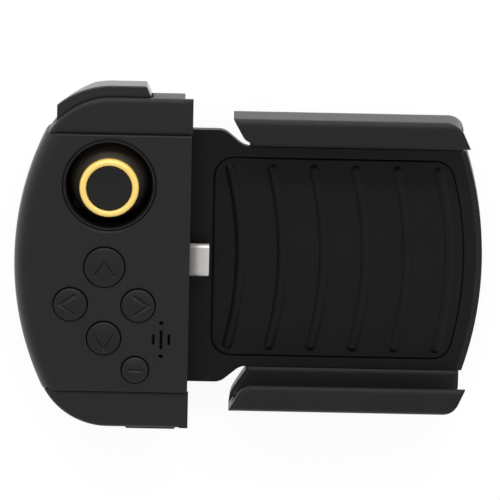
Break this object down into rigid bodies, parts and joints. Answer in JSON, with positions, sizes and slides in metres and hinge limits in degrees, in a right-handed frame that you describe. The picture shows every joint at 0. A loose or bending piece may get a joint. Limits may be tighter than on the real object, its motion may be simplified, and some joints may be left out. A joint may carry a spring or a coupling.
{
  "type": "mobile game controller",
  "caption": "One-handed game controller: grip with thumbstick, buttons and a phone plug, and a cradle with sprung clamp arms for a phone.",
  "frame": {"origin": "Where the phone's wall of the grip, the plane through the middle of the plug and the resting plane meet.", "axes": "+X from the grip to the free end of the cradle, +Y across the phone towards the shoulder button, +Z out of the front face. The part lies on its back."},
  "size_m": [0.1159, 0.087, 0.0232],
  "materials": {
    "panel_plastic": "fine matt texture",
    "cap_plastic": "fine matt texture",
    "cradle_plastic": "fine matt texture",
    "arm_plastic": "fine matt texture",
    "pad_rubber": "matt rubber with beads",
    "collar_plastic": "satin",
    "inner_plastic": "plain",
    "skirt_plastic": "gloss",
    "yellow_plastic": "gloss",
    "disc_rubber": "dimpled",
    "button_plastic": "satin",
    "shoulder_plastic": "satin gloss",
    "sheet_steel": "plain",
    "spring_steel": "plain",
    "screw_steel": "blackened",
    "plug_metal": "satin nickel",
    "membrane_rubber": "silicone",
    "board": "solder mask"
  },
  "bodies": {
    "grip": {"front_panel": "panel_plastic", "top_cap": "cap_plastic", "bottom_cap": "cap_plastic", "grip_shell": "cap_plastic", "cradle_bed": "cradle_plastic", "cradle_cover": "cradle_plastic", "phone_pad": "pad_rubber", "stick_collar": "collar_plastic", "stick_base": "inner_plastic", "stick_housing": "sheet_steel", "stick_sensors": "inner_plastic", "stick_spring": "spring_steel", "shoulder_pin": "spring_steel", "shoulder_switch": "inner_plastic", "shoulder_board": "board", "main_board": "board", "button_membrane": "membrane_rubber", "plug_shell": "plug_metal", "plug_insert": "inner_plastic", "plug_block": "inner_plastic", "socket_shell": "plug_metal", "socket_tongue": "inner_plastic", "sound_duct": "inner_plastic", "grip_screws": "screw_steel", "cradle_screws": "screw_steel", "board_screws": "screw_steel", "stick_module_screws": "screw_steel", "upper_spring": "spring_steel", "lower_spring": "spring_steel"},
    "main_yoke": {"main_yoke": "inner_plastic"},
    "cross_yoke": {"cross_yoke": "inner_plastic"},
    "stick_pivot": {"stick_pivot": "inner_plastic"},
    "thumbstick": {"stick_stem": "inner_plastic", "stick_skirt": "skirt_plastic", "stick_cap": "skirt_plastic", "stick_ring": "yellow_plastic", "stick_disc": "disc_rubber"},
    "upper_arm": {"upper_arm": "arm_plastic"},
    "lower_arm": {"lower_arm": "arm_plastic"},
    "rack_pinion": {"rack_pinion": "inner_plastic"},
    "shoulder_button": {"shoulder_button": "shoulder_plastic"},
    "up_button": {"up_button": "button_plastic"},
    "left_button": {"left_button": "button_plastic"},
    "right_button": {"right_button": "button_plastic"},
    "down_button": {"down_button": "button_plastic"},
    "function_button": {"function_button": "button_plastic"}
  },
  "joints": [
    {"name": "stick_tilt_sideways", "type": "hinge", "parent": "grip", "child": "main_yoke", "pos_m": [-0.01835, 0.0198, 0.0102], "axis": [0, 1, 0], "range_deg": [-12, 12], "stiffness_Nm_per_rad": 0.02},
    {"name": "stick_tilt_lengthways", "type": "hinge", "parent": "main_yoke", "child": "stick_pivot", "pos_m": [-0.01835, 0.0198, 0.0102], "axis": [1, 0, 0], "range_deg": [-12, 12], "stiffness_Nm_per_rad": 0.02},
    {"name": "stick_press", "type": "slide", "parent": "stick_pivot", "child": "thumbstick", "axis": [0, 0, -1], "range_m": [0, 0.0004], "stiffness_N_per_m": 2500, "springref_m": -0.0004, "deforming": ["stick_spring"]},
    {"name": "cross_yoke_tilt", "type": "hinge", "parent": "grip", "child": "cross_yoke", "pos_m": [-0.01835, 0.0198, 0.0102], "axis": [1, 0, 0], "range_deg": [-12, 12]},
    {"name": "up_press", "type": "slide", "parent": "grip", "child": "up_button", "axis": [0, 0, -1], "range_m": [0, 0.001], "stiffness_N_per_m": 700, "springref_m": -0.0006, "deforming": ["button_membrane"]},
    {"name": "left_press", "type": "slide", "parent": "grip", "child": "left_button", "axis": [0, 0, -1], "range_m": [0, 0.001], "stiffness_N_per_m": 700, "springref_m": -0.0006, "deforming": ["button_membrane"]},
    {"name": "right_press", "type": "slide", "parent": "grip", "child": "right_button", "axis": [0, 0, -1], "range_m": [0, 0.001], "stiffness_N_per_m": 700, "springref_m": -0.0006, "deforming": ["button_membrane"]},
    {"name": "down_press", "type": "slide", "parent": "grip", "child": "down_button", "axis": [0, 0, -1], "range_m": [0, 0.001], "stiffness_N_per_m": 700, "springref_m": -0.0006, "deforming": ["button_membrane"]},
    {"name": "function_press", "type": "slide", "parent": "grip", "child": "function_button", "axis": [0, 0, -1], "range_m": [0, 0.001], "stiffness_N_per_m": 700, "springref_m": -0.0006, "deforming": ["button_membrane"]},
    {"name": "shoulder_press", "type": "hinge", "parent": "grip", "child": "shoulder_button", "pos_m": [-0.0062, 0.038, 0.014], "axis": [0, 0, 1], "range_deg": [0, 2.5], "stiffness_Nm_per_rad": 0.5, "springref_deg": -1.15},
    {"name": "upper_arm_slide", "type": "slide", "parent": "grip", "child": "upper_arm", "axis": [0, 1, 0], "range_m": [0, 0.008], "stiffness_N_per_m": 250, "springref_m": -0.02, "deforming": ["upper_spring"]},
    {"name": "lower_arm_slide", "type": "slide", "parent": "grip", "child": "lower_arm", "axis": [0, -1, 0], "range_m": [0, 0.008], "stiffness_N_per_m": 250, "springref_m": -0.02, "deforming": ["lower_spring"]},
    {"name": "pinion_turn", "type": "hinge", "parent": "grip", "child": "rack_pinion", "pos_m": [0.041, 0, 0.0044], "axis": [0, 0, 1], "range_deg": [-96, 0]}
  ],
  "couplings": [
    {"joint": "cross_yoke_tilt", "follows": "stick_tilt_lengthways", "ratio": 1},
    {"joint": "lower_arm_slide", "follows": "upper_arm_slide", "ratio": 1},
    {"joint": "pinion_turn", "follows": "upper_arm_slide", "rad_per_m": -208.33}
  ]
}
